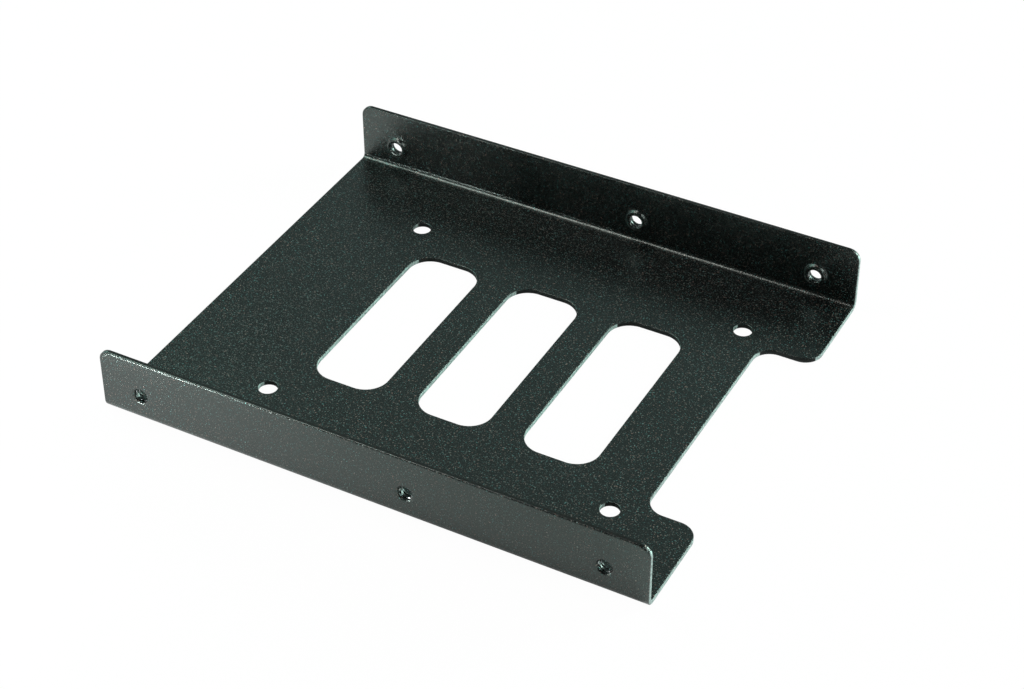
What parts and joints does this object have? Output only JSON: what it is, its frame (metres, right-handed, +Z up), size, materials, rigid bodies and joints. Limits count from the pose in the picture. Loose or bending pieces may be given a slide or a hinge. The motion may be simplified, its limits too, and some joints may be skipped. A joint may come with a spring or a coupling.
{
  "type": "drive bay adapter bracket",
  "caption": "Folded sheet channel with a slotted plate, an end notch and tapped flanges, which holds a small drive in a larger bay.",
  "frame": {"origin": "centre of the plate's underside, midway between the two ends and the two flanges", "axes": "+X along the flanges to the notched end, +Y across them, +Z up out of the channel"},
  "size_m": [0.1198, 0.1006, 0.0148],
  "materials": {
    "powder_coat": "black powder coat with a fine grain, semi-gloss"
  },
  "bodies": {
    "root": {"bracket": "powder_coat"}
  },
  "joints": []
}
